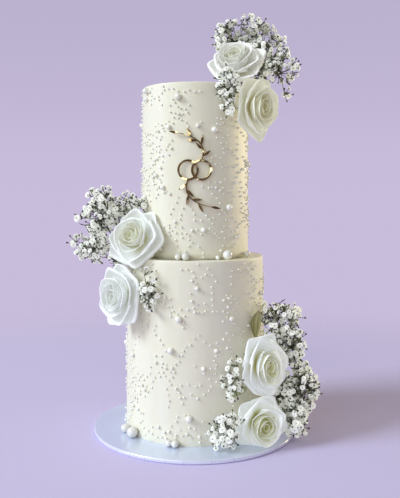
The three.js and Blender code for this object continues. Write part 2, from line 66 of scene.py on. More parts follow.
lens = bpy.data.cameras.new("camera")
lens.sensor_width = SENSOR
lens.lens = SENSOR * PICTURE["focal"] / PICTURE["height"]
lens.shift_y = PICTURE["horizon"] / PICTURE["height"] - 0.5
camera = placed("camera", lens)
camera.location = EYE
camera.rotation_euler = (math.pi / 2, 0, 0)
scene.camera = camera
scene.view_settings.view_transform = "Standard"

# ---- Floor and light -----------------------------------------------------------------------------
# A round sheet of lilac paper that fades into a lilac room, so that no edge shows from any side. A large
# soft key light stands far off to the left and a weak fill at the front left. A small warm rim light
# behind the right edge is flagged off the floor. Polished pieces mirror a dark end of the room.


class Link:
    """An output socket in a material. A sum written on it adds Math nodes, and `node` adds any other."""

    def __init__(self, tree, socket=None):
        self.tree = tree
        self.socket = socket

    def node(self, kind, settings=None, inlets=None, outlet=0):
        made = self.tree.nodes.new(kind)
        for name, value in (settings or {}).items():
            setattr(made, name, value)
        for name, value in (inlets or {}).items():
            if isinstance(value, Link):
                self.tree.links.new(value.socket, made.inputs[name])
            else:
                made.inputs[name].default_value = value
        return Link(self.tree, made.outputs[outlet])

    def maths(self, operation, first, second=0.0):
        return self.node("ShaderNodeMath", {"operation": operation}, {0: first, 1: second})

    def __add__(self, other):
        return self.maths("ADD", self, other)

    def __sub__(self, other):
        return self.maths("SUBTRACT", self, other)

    def __rsub__(self, other):
        return self.maths("SUBTRACT", other, self)

    def __mul__(self, other):
        return self.maths("MULTIPLY", self, other)

    __radd__ = __add__
    __rmul__ = __mul__

    def part(self, axis):
        """One coordinate of a place."""
        return self.node("ShaderNodeSeparateXYZ", {}, {0: self}, axis)

    def scaled(self, *scale):
        """A place with its coordinates multiplied."""
        return self.node("ShaderNodeMapping", {}, {"Vector": self, "Scale": scale})

    def grain(self, scale, detail, roughness=0.5):
        """Noise at a place, from 0 to 1."""
        inlets = {"Vector": self, "Scale": scale, "Detail": detail, "Roughness": roughness}
        return self.node("ShaderNodeTexNoise", {}, inlets)

    def smooth(self, low, high):
        """From 0 at `low` to 1 at `high`."""
        settings = {"interpolation_type": "SMOOTHSTEP"}
        return self.node("ShaderNodeMapRange", settings, {"Value": self, "From Min": low, "From Max": high})

    def between(self, first, second):
        """The colour that lies this far from the first to the second."""
        return self.node("ShaderNodeMix", {"data_type": "RGBA"}, {0: self, 6: first, 7: second}, 2)


def colour(red, green, blue):
    """A colour for a shader from its screen values of 0 to 255."""
    def linear(value):
        share = value / 255
        return share / 12.92 if share < 0.04045 else ((share + 0.055) / 1.055) ** 2.4
    return (linear(red), linear(green), linear(blue), 1)


def bump(height, strength, distance):
    """The normal of a surface raised by `height`, a link, times `distance` in metres."""
    inlets = {"Height": height, "Strength": strength, "Distance": distance}
    return height.node("ShaderNodeBump", {}, inlets)


def finish(name, constants, varying):
    """A material: constants are set on the shader, and `varying` makes what changes over the surface."""
    material = bpy.data.materials.new(name)
    material.use_nodes = True
    tree = material.node_tree
    shader = tree.nodes["Principled BSDF"]
    for inlet, value in constants.items():
        shader.inputs[inlet].default_value = value
    place = Link(tree).node("ShaderNodeTexCoord", outlet="Object")
    for inlet, link in varying(place).items():
        tree.links.new(link.socket, shader.inputs[inlet])
    return material


PAPER = {"radius": 4.0, "solid": 0.45, "gone": 1.2, "colour": colour(214, 203, 237)}
ROOM = {
    "low": colour(200, 189, 219), "high": colour(187, 178, 207), "high_at": 0.27,
    "ambient": (0.42, 0.40, 0.36, 1), "dark": colour(96, 84, 78), "dark_end": (0.3, 0.9),
}
LIGHTS = [
    {"name": "key", "azimuth": -69, "elevation": 32, "away": 16.0, "size": 6.4, "power": 2000,
     "tint": (0.78, 0.88, 1), "flagged": False},
    {"name": "fill", "azimuth": -30, "elevation": 15, "away": 6.0, "size": 4.0, "power": 92,
     "tint": (0.84, 0.92, 1), "flagged": False},
    {"name": "rim", "azimuth": 118, "elevation": 10, "away": 1.3, "size": 0.45, "power": 9.4,
     "tint": (1, 0.88, 0.54), "flagged": True},
]
CAKE = bpy.data.collections.new("cake")
AIM = Vector((0, 0, 0.3))


def heading(azimuth, elevation):
    """A unit vector: azimuth 0 faces the front (-Y) and 90 faces +X; elevation is above the horizon."""
    a, e = math.radians(azimuth), math.radians(elevation)
    return Vector((math.sin(a) * math.cos(e), -math.cos(a) * math.cos(e), math.sin(e)))


def paper(place):
    return {"Normal": bump(place.grain(900, 2), 0.03, 0.0002)}


def blended(material, kind, inlets, share):
    """Mixes a shader of another kind into a material. `share` is a number or a link."""
    tree = material.node_tree
    own = Link(tree, tree.nodes["Principled BSDF"].outputs[0])
    other = Link(tree).node(kind, {}, inlets)
    mixed = own.node("ShaderNodeMixShader", {}, {0: share, 1: own, 2: other})
    tree.links.new(mixed.socket, tree.nodes["Material Output"].inputs["Surface"])
    return material


def as_mesh(bm, name):
    """Turns a bmesh into a mesh, and frees it."""
    mesh = bpy.data.meshes.new(name)
    bm.to_mesh(mesh)
    bm.free()
    return mesh


sheet = bmesh.new()
bmesh.ops.create_circle(sheet, cap_ends=True, segments=96, radius=PAPER["radius"])
floor = placed("floor", as_mesh(sheet, "floor"))
lilac = finish("lilac_paper", {"Base Color": PAPER["colour"], "Roughness": 0.9}, paper)
spot = Link(lilac.node_tree).node("ShaderNodeTexCoord", outlet="Object")
away = spot.node("ShaderNodeVectorMath", {"operation": "LENGTH"}, {0: spot}, "Value")
blended(lilac, "ShaderNodeBsdfTransparent", {}, away.smooth(PAPER["solid"], PAPER["gone"]))
floor.data.materials.append(lilac)

room = bpy.data.worlds.new("room")
room.use_nodes = True
scene.world = room
background = room.node_tree.nodes["Background"]
direction = Link(room.node_tree).node("ShaderNodeTexCoord", outlet="Generated")
backdrop = direction.part("Z").smooth(0.0, ROOM["high_at"]).between(ROOM["low"], ROOM["high"])
mirrored = (0 - direction.part("Y")).smooth(*ROOM["dark_end"]).between(backdrop, ROOM["dark"])
lit = direction.node("ShaderNodeLightPath", outlet="Is Glossy Ray").between(ROOM["ambient"], mirrored)
seen = direction.node("ShaderNodeLightPath", outlet="Is Camera Ray").between(lit, backdrop)
room.node_tree.links.new(seen.socket, background.inputs["Color"])

for light in LIGHTS:
    lamp = bpy.data.lights.new(light["name"], "AREA")
    lamp.shape = "DISK"
    lamp.size = light["size"]
    lamp.energy = light["power"]
    lamp.color = light["tint"]
    stand = placed(light["name"], lamp)
    out = heading(light["azimuth"], light["elevation"])
    stand.location = AIM + out * light["away"]
    stand.rotation_euler = out.to_track_quat("Z", "Y").to_euler()
    if light["flagged"]:
        stand.light_linking.receiver_collection = CAKE

# ---- Board ---------------------------------------------------------------------------------------
# A 12 inch round of card, 6 mm thick, under satin white foil. The foil is drawn over the edge and
# pleated beneath, which leaves short creases across the edge. The edge is painted lighter as a highlight,
# and the creases are painted darker as shade.

MM = 0.001


def turned(profile, steps):
    """A body turned about +Z from (radius, height) pairs that start and end on the axis."""
    bm = bmesh.new()
    corners = [bm.verts.new((radius, 0, z)) for radius, z in profile]
    edges = [bm.edges.new(pair) for pair in zip(corners, corners[1:])]
    bmesh.ops.spin(
        bm, geom=corners + edges, cent=(0, 0, 0), axis=(0, 0, 1), angle=2 * math.pi,
        steps=steps, use_merge=True,
    )
    bmesh.ops.remove_doubles(bm, verts=bm.verts, dist=1e-3)
    bmesh.ops.recalc_face_normals(bm, faces=bm.faces)
    return bm


def piece(name, bm, material, slot, *nodes, smooth=True):
    """Finishes a mesh made in millimetres as a piece of the cake that stands for CAD nodes."""
    bmesh.ops.scale(bm, vec=(MM, MM, MM), verts=bm.verts)
    mesh = as_mesh(bm, name)
    mesh.materials.append(material)
    mesh.polygons.foreach_set("use_smooth", [smooth] * len(mesh.polygons))
    made = placed(name, mesh)
    CAKE.objects.link(made)
    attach(made, "root")
    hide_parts(*nodes)
    return made


board_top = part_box("cake_board")[1] / MM  # its x is the board's radius, and its z the board's height
# The edge colour is a painted highlight along the rounded edge, and the crease colour is painted shade.
FOIL = {
    "face": colour(218, 227, 248), "edge": colour(234, 237, 250), "crease_and_shade": colour(170, 172, 196),
    "edge_band": (1.2, 0.6), "pleats": 5.5, "crease_width": 0.03,
}


def foil(place):
    turn = place.maths("ARCTAN2", place.part("Y"), place.part("X"))
    settings = {"voronoi_dimensions": "1D", "feature": "DISTANCE_TO_EDGE"}
    pleat = place.node("ShaderNodeTexVoronoi", settings, {"W": turn, "Scale": FOIL["pleats"]}, "Distance")
    flat = place.node("ShaderNodeVectorMath", {"operation": "MULTIPLY"}, {0: place, 1: (1, 1, 0)})
    out = place.node("ShaderNodeVectorMath", {"operation": "LENGTH"}, {0: flat}, "Value")
    # The band at the edge gets a painted highlight, and its creases painted shade as well as a dent.
    rim = out.smooth(*((board_top.x - inward) * MM for inward in FOIL["edge_band"]))
    crease_and_shade = rim * (1 - pleat.smooth(0.0, FOIL["crease_width"])) * 0.5
    return {
        "Base Color": crease_and_shade.between(rim.between(FOIL["face"], FOIL["edge"]), FOIL["crease_and_shade"]),
        "Normal": bump(1 - crease_and_shade, 0.5, 0.0004),
    }


EDGE = 1.0  # how far in the board's top edge is rounded
UNDER = 1.6  # how high the foil is drawn in beneath
board_profile = [
    (0, 0), (board_top.x - 1.5 * UNDER, 0), (board_top.x - 0.5 * UNDER, 0.4 * UNDER), (board_top.x, UNDER),
    (board_top.x, board_top.z - EDGE), (board_top.x - 0.3 * EDGE, board_top.z - 0.3 * EDGE),
    (board_top.x - EDGE, board_top.z), (board_top.x - 3 * EDGE, board_top.z), (0, board_top.z),
]
piece(
    "foil_board", turned(board_profile, 240),
    finish("foil", {
        "Metallic": 0.28, "Roughness": 0.26, "Coat Weight": 0.4, "Coat Roughness": 0.15,
    }, foil),
    "board_foil", "cake_board",
)

# ---- Buttercream ---------------------------------------------------------------------------------
# Two straight tiers under white buttercream, scraped smooth. The scraper leaves a thin sharp lip at
# the rim, faint upright streaks where it was stopped, and here and there a nick. The upper tier was
# set down iced, so a ragged seam is open at its foot.

LOWER = {
    "node": "lower_tier", "foot": 104.2, "rim": 102.6, "bottom": board_top.z, "height": 255,
    "seam": 0.3, "seed": 1913, "strings": (18, 6),
}
UPPER = {
    "node": "upper_tier", "foot": 80.2, "rim": 79.8, "bottom": LOWER["bottom"] + LOWER["height"],
    "height": 252, "seam": 2.8, "seed": 4057, "strings": (14, 6),
}
RIM = 2.2
ICING = {
    "rows": 44, "sides": 240, "over_seam": 0.8, "dished": 0.5, "lip": 0.45, "drawn": 0.35,
    "swell": 0.35, "ragged": 0.5, "lip_wave": 0.3,
}
WAVES = {"swell": 0.03, "ragged": 0.4, "lip_wave": 0.09}  # how close they are, to the millimetre
CREAM = {
    "light": colour(238, 235, 219), "deep": colour(232, 228, 207), "streak": 26, "stretch": 0.05,
    "nick": 42,
}


def tier_radius(tier, z):
    return tier["foot"] + (tier["rim"] - tier["foot"]) * (z - tier["bottom"]) / tier["height"]


def iced(tier):
    """A tier's body, with the small unevenness that a hand-held scraper leaves, drawn out upright."""
    bottom, top = tier["bottom"], tier["bottom"] + tier["height"]
    rows = ICING["rows"]
    undercut = tier["foot"] - tier["seam"]
    wall = [(undercut, bottom), (undercut, bottom + tier["seam"])]
    start = bottom + tier["seam"] + ICING["over_seam"]
    for row in range(rows + 1):
        z = start + (top - RIM - start) * row / rows
        wall.append((tier_radius(tier, z), z))
    edge = [
        (tier["rim"] - RIM * (1 - math.cos(turn)), top - RIM * (1 - math.sin(turn)))
        for turn in (math.radians(degrees) for degrees in (25, 50, 70, 90))
    ]
    inward = [(tier["rim"] * share, top - ICING["dished"]) for share in (0.94, 0.85, 0.5, 0)]
    bm = turned([(0, bottom), *wall, *edge, *inward], ICING["sides"])
    for vert in bm.verts:
        out = Vector((vert.co.x, vert.co.y, 0))
        if out.length < tier["rim"] - 2 * RIM:
            continue
        drawn = Vector((vert.co.x, vert.co.y, vert.co.z * ICING["drawn"]))
        swell = ICING["swell"] * noise.noise(drawn * WAVES["swell"])
        if vert.co.z < start + 0.1:
            swell += ICING["ragged"] * noise.noise(vert.co * WAVES["ragged"])
        vert.co += out.normalized() * swell
        if vert.co.z > top - 0.6 * RIM:
            vert.co.z += ICING["lip"] + ICING["lip_wave"] * noise.noise(vert.co * WAVES["lip_wave"])
    return bm


def buttercream(place):
    streak = place.scaled(1, 1, CREAM["stretch"]).grain(CREAM["streak"], 4, 0.55)
    cells = place.node("ShaderNodeTexVoronoi", {}, {"Vector": place, "Scale": CREAM["nick"]}, "Distance")
    nick = (1 - cells.smooth(0.03, 0.11)) * place.grain(14, 2).smooth(0.6, 0.66)
    return {
        "Base Color": streak.smooth(0.25, 0.75).between(CREAM["deep"], CREAM["light"]),
        "Roughness": 0.42 + streak * 0.2,
        "Normal": bump(streak * 0.8 + place.grain(260, 4) * 0.08 - nick * 0.5, 0.7, 0.0012),
    }


icing = finish("buttercream", {
    "Subsurface Weight": 0.2, "Subsurface Radius": (1.0, 0.7, 0.4), "Subsurface Scale": 0.003,
    "Specular IOR Level": 0.4,
}, buttercream)
for tier in (LOWER, UPPER):
    piece(tier["node"] + "_icing", iced(tier), icing, "buttercream", tier["node"])

# ---- Gold ornament -------------------------------------------------------------------------------
# Two linked rings in the bend of a leafy sprig, cut from one sheet of gold mirror acrylic and pressed
# on the front of the upper tier. The sprig's lower half is its upper half, turned half round.

ORNAMENT = {
    "middle": 388, "thickness": 2.5, "air": 0.3, "edge": 0.4,
    "ring": {"offset": 9.6, "outer": 15, "inner": 12, "sides": 72},
    "stem": {"course": ((9.6, 13.5), (21, 44), (-23, 52)), "width": 2.2, "taper": 0.6, "steps": 24},
    "stem_points": 5, "leaf_room": 11,
    "leaf": {"count": 6, "length": 15, "width": 3.5, "rows": 12, "splay": 38, "back": 0.08,
             "tip_back": 0.01},
}


def bend(side, share):
    """A point and a direction of the sprig's stem, in the sheet's plane."""
    a, b, c = (Vector(point) * side for point in ORNAMENT["stem"]["course"])
    at = a * (1 - share) ** 2 + b * 2 * share * (1 - share) + c * share ** 2
    return at, ((b - a) * (1 - share) + (c - b) * share).normalized()


def cut_out(bm):
    """Thickens flat faces in the XZ plane into a plate as thick as the sheet."""
    grown = bmesh.ops.extrude_face_region(bm, geom=bm.faces[:], use_keep_orig=True)
    moved = [part for part in grown["geom"] if isinstance(part, bmesh.types.BMVert)]
    bmesh.ops.translate(bm, vec=(0, -ORNAMENT["thickness"], 0), verts=moved)
    bmesh.ops.recalc_face_normals(bm, faces=bm.faces)
    return bm


def ring_plate(side):
    ring = ORNAMENT["ring"]
    bm = bmesh.new()
    band = [bm.verts.new((radius, 0, 0)) for radius in (ring["inner"], ring["outer"])]
    bmesh.ops.spin(
        bm, geom=band + [bm.edges.new(band)], cent=(0, 0, 0), axis=(0, 1, 0), angle=2 * math.pi,
        steps=ring["sides"], use_merge=True,
    )
    bmesh.ops.translate(bm, vec=(side * ring["offset"], 0, 0), verts=bm.verts)
    return cut_out(bm)


def bent_grid(bm, columns, rows, shape):
    """Adds a grid bent to shape(across, up): `across` runs from -1 to 1, and `up` from 0 to 1."""
    made = bmesh.ops.create_grid(bm, x_segments=columns, y_segments=rows, size=0.5, calc_uvs=True)
    for vert in made["verts"]:
        vert.co = shape(2 * vert.co.x, vert.co.y + 0.5)
    return made["verts"]


def stem_plate(side):
    stem = ORNAMENT["stem"]

    def ribbon(across, up):
        at, along = bend(side, up)
        out = across * stem["width"] * (1 - stem["taper"] * up) / 2
        return Vector((at.x - along.y * out, 0, at.y + along.x * out))

    bm = bmesh.new()
    bent_grid(bm, 1, stem["steps"], ribbon)
    return cut_out(bm)


def leaf_plates(side):
    leaf = ORNAMENT["leaf"]

    def pointed(across, up):
        half = 2 * leaf["width"] * up * (1 - up) * (1 + 0.2 * (0.5 - up))
        return Vector((up * leaf["length"], 0, across * half))

    plates = []
    for k in range(leaf["count"]):
        tip = k == leaf["count"] - 1
        at, along = bend(side, (k + 1) / leaf["count"] - leaf["tip_back" if tip else "back"])
        splay = 0 if tip else math.radians(leaf["splay"]) * (1 if k % 2 else -1)
        bm = bmesh.new()
        bent_grid(bm, 1, leaf["rows"], pointed)
        bmesh.ops.remove_doubles(bm, verts=bm.verts, dist=1e-3)
        turn = Matrix.Rotation(-math.atan2(along.y, along.x) - splay, 4, "Y")
        bmesh.ops.transform(bm, matrix=Matrix.Translation((at.x, 0, at.y)) @ turn, verts=bm.verts)
        plates.append(cut_out(bm))
    return plates


def union(plates):
    """One bmesh from plates that overlap, with its edges eased."""
    body, *others = [placed("plate", as_mesh(plate, "plate")) for plate in plates]
    joined = bpy.data.collections.new("plates")
    for other in others:
        joined.objects.link(other)
    weld = body.modifiers.new("weld", "BOOLEAN")
    weld.operation = "UNION"
    weld.operand_type = "COLLECTION"
    weld.collection = joined
    weld.solver = "EXACT"
    bevel = body.modifiers.new("bevel", "BEVEL")
    bevel.width = ORNAMENT["edge"]
    bevel.segments = 2
    bevel.limit_method = "ANGLE"
    bevel.angle_limit = math.radians(60)
    bpy.context.view_layer.update()
    bm = bmesh.new()
    bm.from_mesh(body.evaluated_get(bpy.context.evaluated_depsgraph_get()).to_mesh())
    bpy.data.collections.remove(joined)
    for plate in [body, *others]:
        bpy.data.meshes.remove(plate.data)
    return bm


def gold(place):
    # The drift between a darker and a paler gold is painted reflection; the same noise also varies the
    # roughness.
    haze_and_reflection = place.grain(30, 2)
    return {
        "Base Color": haze_and_reflection.smooth(0.3, 0.7).between(colour(192, 166, 112), colour(236, 216, 168)),
        "Roughness": 0.1 + haze_and_reflection * 0.08,
        "Normal": bump(place.grain(42, 1), 1.0, 0.012),
    }


plates = [plate for side in (-1, 1) for plate in (ring_plate(side), stem_plate(side), *leaf_plates(side))]
ornament = union(plates)
front = (0, -UPPER["foot"] - ORNAMENT["air"], ORNAMENT["middle"])
bmesh.ops.translate(ornament, vec=front, verts=ornament.verts)
piece(
    "mirror_ornament", ornament, finish("gold_mirror", {"Metallic": 1.0}, gold),
    "gold_mirror", "gold_ornament", smooth=False,
)

# ---- Pearls --------------------------------------------------------------------------------------
# Sugar pearls pressed one by one into the soft icing: four sizes in short meandering strings, finer
# ones between them, and larger ones left loose on the ledge and on the board.

# Azimuth from the front towards +X, radius, and air to the tier's wall
LOOSE_PEARLS = {
    "board_pearl": (
        LOWER, [(-52.8, 8, 0.3), (-65.5, 6.6, 1), (-19.4, 4.7, 0.3), (-14.3, 5.2, 1), (150, 7.4, 0.3),
                (159.5, 5.2, 1.5)],
    ),
    "ledge_pearl": (
        UPPER, [(-16.5, 4.4, 0.3), (-8.6, 5.4, 2.5), (31.4, 6.9, 2), (22.6, 3.3, 1), (64, 4.8, 0.3),
                (118, 6.2, 0.5)],
    ),
}
PEARL_KINDS = [(4.6, 0.018), (3.4, 0.06), (2.2, 0.17), (1.5, 1)]  # radius, share at least as large
PEARL = {"least": 0.92, "spread": 0.16, "spacing": 1.2, "sunk": 0.3, "edge": 1, "fine": 3}
STRING = {"fewest": 6, "most": 13, "shortest": 4.8, "longest": 9.5, "turn": 2.4}
SCATTERED = {"kinds": [(1.6, 0.4), (1.25, 1)], "strings": (10, 5)}


def dice(seed):
    """A seeded run of numbers from 0 to 1."""
    state = seed
    while True:
        state = state * 16807 % 2147483647
        yield state / 2147483647


def loose_pearls():
    """Every loose pearl, as (name, place, radius)."""
    found = []
    for name, (tier, pearls) in LOOSE_PEARLS.items():
        for order, (azimuth, radius, air) in enumerate(pearls, 1):
            at = heading(azimuth, 0) * (tier["foot"] + radius + air)
            at.z = tier["bottom"] + radius
            found.append((f"{name}_{order}", at, radius))
    return found


def under_ornament(at, radius):
    """Whether a pearl on the wall would stand in the way of the ornament."""
    ring = ORNAMENT["ring"]
    spot = Vector((at.x, at.z - ORNAMENT["middle"]))
    clear = radius + ORNAMENT["air"]
    for side in (-1, 1):
        middle = (spot - Vector((side * ring["offset"], 0))).length
        points = ORNAMENT["stem_points"]
        stem = min((bend(side, k / points)[0] - spot).length for k in range(points + 1))
        on_ring = ring["inner"] - clear < middle < ring["outer"] + clear
        if on_ring or stem < ORNAMENT["leaf_room"] + clear:
            return at.y < 0
    return False


def pearls_on(tier, taken, kinds, strings, seed):
    """Pearls on a tier's side, as (place, radius): strings that start on a jittered grid and wander."""
    roll = dice(seed)
    columns, rows = strings
    bottom, top = tier["bottom"], tier["bottom"] + tier["height"] - RIM
    pearls = []
    for place in range(rows * columns):
        row, column = divmod(place, columns)
        along = (column + 0.5 * (row % 2) + next(roll)) / columns * 2 * math.pi * tier["foot"]
        z = bottom + (row + next(roll)) / rows * tier["height"]
        course = 2 * math.pi * next(roll)
        count = STRING["fewest"] + int(next(roll) * (STRING["most"] - STRING["fewest"] + 1))
        for _ in range(count):
            draw = next(roll)
            kind = next(radius for radius, share in kinds if draw < share)
            radius = kind * (PEARL["least"] + PEARL["spread"] * next(roll))
            reach = tier_radius(tier, z) + radius * (1 - PEARL["sunk"])
            angle = along / tier["foot"]
            at = Vector((reach * math.cos(angle), reach * math.sin(angle), z))
            on_wall = bottom + radius + PEARL["edge"] < z < top - radius
            room = radius + PEARL["spacing"]
            apart = all((at - other).length > room + size for other, size in taken + pearls)
            if on_wall and apart and not under_ornament(at, radius):
                pearls.append((at, radius))
            step = STRING["shortest"] + next(roll) * (STRING["longest"] - STRING["shortest"]) + radius
            course += STRING["turn"] * (next(roll) - 0.5)
            along += step * math.cos(course)
            z += step * math.sin(course)
    return pearls


def ball(fineness):
    """A unit sphere as a mesh, to be copied."""
    bm = bmesh.new()
    bmesh.ops.create_icosphere(bm, subdivisions=fineness, radius=1)
    return as_mesh(bm, "ball")


def copies(template, places):
    """One bmesh with the template at each of the places, which are matrices."""
    bm = bmesh.new()
    for place in places:
        copy = template.copy()
        copy.transform(place)
        bm.from_mesh(copy)
        bpy.data.meshes.remove(copy)
    return bm


def set_out(spots):
    """Pearls at (place, radius) spots: the small ones of few faces, the large ones of more."""
    bm = bmesh.new()
    for fineness, least, most in ((2, 0, PEARL["fine"]), (3, PEARL["fine"], math.inf)):
        sized = [(at, radius) for at, radius in spots if least <= radius < most]
        places = [Matrix.Translation(at) @ Matrix.Scale(radius, 4) for at, radius in sized]
        bm.from_mesh(as_mesh(copies(ball(fineness), places), "pearls"))
    return bm


def pearl_sugar(name, coat, dark, light, edge):
    """Hard sugar under a pearl lustre: its tone drifts from dark to light, and a painted reflection darkens
    it to `edge` round the side.
    """
    def lustre(place):
        tone = place.grain(55, 1)
        painted_light = place.node("ShaderNodeLayerWeight", {}, {"Blend": 0.35}, "Facing")
        body = tone.smooth(0.3, 0.7).between(dark, light)
        return {"Base Color": (painted_light * 0.6).between(body, edge), "Roughness": 0.2 + tone * 0.08}

    return finish(name, {
        "Coat Weight": coat, "Coat Roughness": 0.12, "Specular IOR Level": 0.4,
    }, lustre)


pearl = pearl_sugar(
    "pearl_sugar", 0.35, colour(244, 242, 232), colour(252, 251, 244), colour(206, 204, 190),
)
# The large pearls get a copy of the same sugar with a painted darker body and much darker painted edges.
shaded_large_pearl = pearl_sugar(
    "shaded_large_pearl_sugar", 0.8, colour(235, 234, 228), colour(243, 242, 238), colour(166, 164, 146),
)
resting = [(at, radius) for _, at, radius in loose_pearls()]
for tier in (LOWER, UPPER):
    main = pearls_on(tier, resting, PEARL_KINDS, tier["strings"], tier["seed"])
    fine = pearls_on(tier, resting + main, SCATTERED["kinds"], SCATTERED["strings"], tier["seed"] + 1)
    set_pearls = set_out(main + fine)
    piece(tier["node"] + "_pearls", set_pearls, pearl, "sugar_pearl", tier["node"])
for name, at, radius in loose_pearls():
    spot = Matrix.Translation(at) @ Matrix.Scale(radius, 4)
    piece("sugar_" + name, copies(ball(4), [spot]), shaded_large_pearl, "sugar_pearl", name)

# ---- Roses ---------------------------------------------------------------------------------------
# Six white roses in three pairs, their stems pushed into the icing, with a green calyx behind each. The
# petals lie in rings round a rolled eye: the outer ones are open with their lips folded back, and green
# tints them towards the foot. The petals give off a faint painted glow, and their lips are painted
# lighter as a highlight.

# Facing is an azimuth and an elevation, squeeze narrows a bloom sideways, and spin turns its petals.
# Glow is the strength of the petals' painted light, set rose by rose. The eye colours are paler on the
# roses that face the light, partly as painted light.
ROSES = [
    {"name": "rose_top_back", "base": (65, -32, 536), "facing": (-18, 40), "radius": 40, "height": 40,
     "squeeze": 1.0, "spin": 0.3, "painted_light": 0.1, "white": (247, 247, 245), "eye": (234, 233, 206)},
    {"name": "rose_top_front", "base": (81, -50, 480), "facing": (34, -4), "radius": 46, "height": 40,
     "squeeze": 0.76, "spin": 1.65, "painted_light": 0.15, "white": (242, 242, 231), "eye": (222, 215, 166)},
    {"name": "rose_left_upper", "base": (-78, -51, 285), "facing": (-24, 20), "radius": 43, "height": 42,
     "squeeze": 0.94, "spin": 0.7, "painted_light": 0.16, "white": (242, 244, 242), "eye": (238, 237, 206)},
    {"name": "rose_left_lower", "base": (-97, -61, 209), "facing": (-37, 1), "radius": 45, "height": 38,
     "squeeze": 0.78, "spin": 2.3, "painted_light": 0.17, "white": (244, 246, 246), "eye": (240, 243, 234)},
    {"name": "rose_right_upper", "base": (89, -72, 113), "facing": (29, 1), "radius": 48, "height": 40,
     "squeeze": 0.74, "spin": 0.2, "painted_light": 0.17, "white": (245, 247, 247), "eye": (222, 220, 164)},
    {"name": "rose_right_lower", "base": (87, -77, 34), "facing": (20, 0), "radius": 40, "height": 40,
     "squeeze": 0.94, "spin": 1.5, "painted_light": 0.2, "white": (245, 247, 246), "eye": (192, 192, 84)},
]
BLOOM_ROOM = {"across": 1.06, "middle": 0.5, "half": 0.56}  # shares of a bloom's radius and height

# From the outside in. Lip and belly are shares of the bloom's radius and height. Half is half of a
# petal's width and fold how far its lip folds back, both in degrees, and bend is the fold's radius.
# Corner is how much lower its corners are, and tip how much less its middle folds. Tuck sets one side
# under its neighbour and the other over it, roll turns both sides out, and peak draws it to a point.
PETAL_RINGS = [
    {"petals": 5, "lip": (1.06, 0.4), "belly": (0.62, 0.04), "half": 50, "fold": 130, "bend": 2.8,
     "corner": 0.1, "tip": 0.5, "tuck": 1.2, "roll": 1.0, "peak": 0.75},
    {"petals": 4, "lip": (0.88, 0.66), "belly": (0.54, 0.2), "half": 60, "fold": 120, "bend": 2.4,
     "corner": 0.1, "tip": 0.4, "tuck": 1.4, "roll": 1.0, "peak": 0.7},
    {"petals": 3, "lip": (0.65, 0.87), "belly": (0.42, 0.38), "half": 76, "fold": 80, "bend": 1.8,
     "corner": 0.08, "tip": 0.2, "tuck": 1.6, "roll": 0.3, "peak": 0.55},
    {"petals": 3, "lip": (0.44, 0.94), "belly": (0.37, 0.44), "half": 82, "fold": 50, "bend": 1.3,
     "corner": 0.06, "tip": 0.0, "tuck": 1.8, "roll": 0.0, "peak": 0.4},
    {"petals": 3, "lip": (0.26, 0.94), "belly": (0.27, 0.5), "half": 90, "fold": 30, "bend": 1.0,
     "corner": 0.06, "tip": 0.0, "tuck": 1.6, "roll": 0.0, "peak": 0.25},
    {"petals": 2, "lip": (0.12, 0.88), "belly": (0.16, 0.6), "half": 140, "fold": 10, "bend": 0.9,
     "corner": 0.04, "tip": 0.0, "tuck": 1.6, "roll": 0.0, "peak": 0.0},
]
# Foot is the radius and the height at which a petal starts. Slope lowers its sides past slope_from, and
# a side that rolls out past roll_from droops. Straight is how many degrees its sides leave the round.
# Stagger turns each ring on from the last, and stray is how unevenly its petals are set.
PETAL = {
    "foot": (3.2, 1.5), "columns": 10, "cup_rows": 7, "fold_rows": 4, "thickness": 0.4,
    "slope": 0.05, "slope_from": 0.6, "roll_from": 0.5, "droop": 0.6, "straight": 50,
    "ruffle": 1.1, "ruffles": 4, "stagger": 0.37, "stray": 0.16,
}
# How petals vary from one to the next: the least, and the most that is added
MOODS = {"reach": (0.94, 0.12), "swell": (0.92, 0.16), "fold": (0.75, 0.5), "width": (0.92, 0.16)}
PRESS = 4.0  # how near a neighbour a petal starts to give
NESTLE = 1.5  # how far petals reach past the middle between two blooms
# How bright a petal, its painted glow and its lip with its painted highlight are, as shares of the colours
# given above
PETAL_TONES = {"eye": (1, 0.7), "white": (1, 0.84, 1.02)}


def frame_at(at, facing, spin=0.0):
    """The frame at a place whose +Z points along `facing`, turned by `spin` about its own +Z."""
    turn = Vector((0, 0, 1)).rotation_difference(facing) @ Quaternion((0, 0, 1), spin)
    return Matrix.LocRotScale(Vector(at), turn, None)


def bloom_frame(rose):
    """A bloom's frame at its foot: +Z points out through the bloom, and +X is level."""
    return frame_at(rose["base"], heading(*rose["facing"]), math.radians(rose["facing"][0]))


def bloom_egg(rose, margin=0.0):
    """The egg-shaped room that a bloom takes, as a unit sphere's matrix."""
    wide = BLOOM_ROOM["across"] * rose["radius"] + margin
    tall = BLOOM_ROOM["half"] * rose["height"] + margin
    middle = Matrix.Translation((0, 0, BLOOM_ROOM["middle"] * rose["height"]))
    return bloom_frame(rose) @ middle @ Matrix.Diagonal((wide * rose["squeeze"], wide, tall, 1))


def eased(depth):
    """How far a point stays off a surface that it is pressed on: less and less, but never through it."""
    return depth if depth > PRESS else PRESS * math.exp((depth - PRESS) / PRESS)


def off_round(at, radius, top):
    """A point kept out of an upright round body of this radius and top."""
    out = Vector((at.x, at.y, 0))
    beside, above = out.length - radius, at.z - top
    if max(beside, above) > PRESS:
        return at
    if beside > above:
        return at + out.normalized() * (eased(beside) - beside)
    return at + Vector((0, 0, eased(above) - above))


def pressed(at, rose, partner):
    """A petal's point, kept off the bloom beside it and off the cake and its board."""
    ours, theirs = (bloom_egg(one).translation for one in (rose, partner))
    across = (ours - theirs).normalized()
    depth = (at - (ours + theirs) / 2).dot(across) + NESTLE
    at = at + across * (eased(depth) - depth)
    for tier in (UPPER, LOWER):
        at = off_round(at, tier["foot"], tier["bottom"] + tier["height"])
    return off_round(at, board_top.x + rose["radius"], board_top.z)


def past(share, start):
    """From 0 at `start`, and before it, to 1 at 1."""
    return max(0.0, (share - start) / (1 - start))


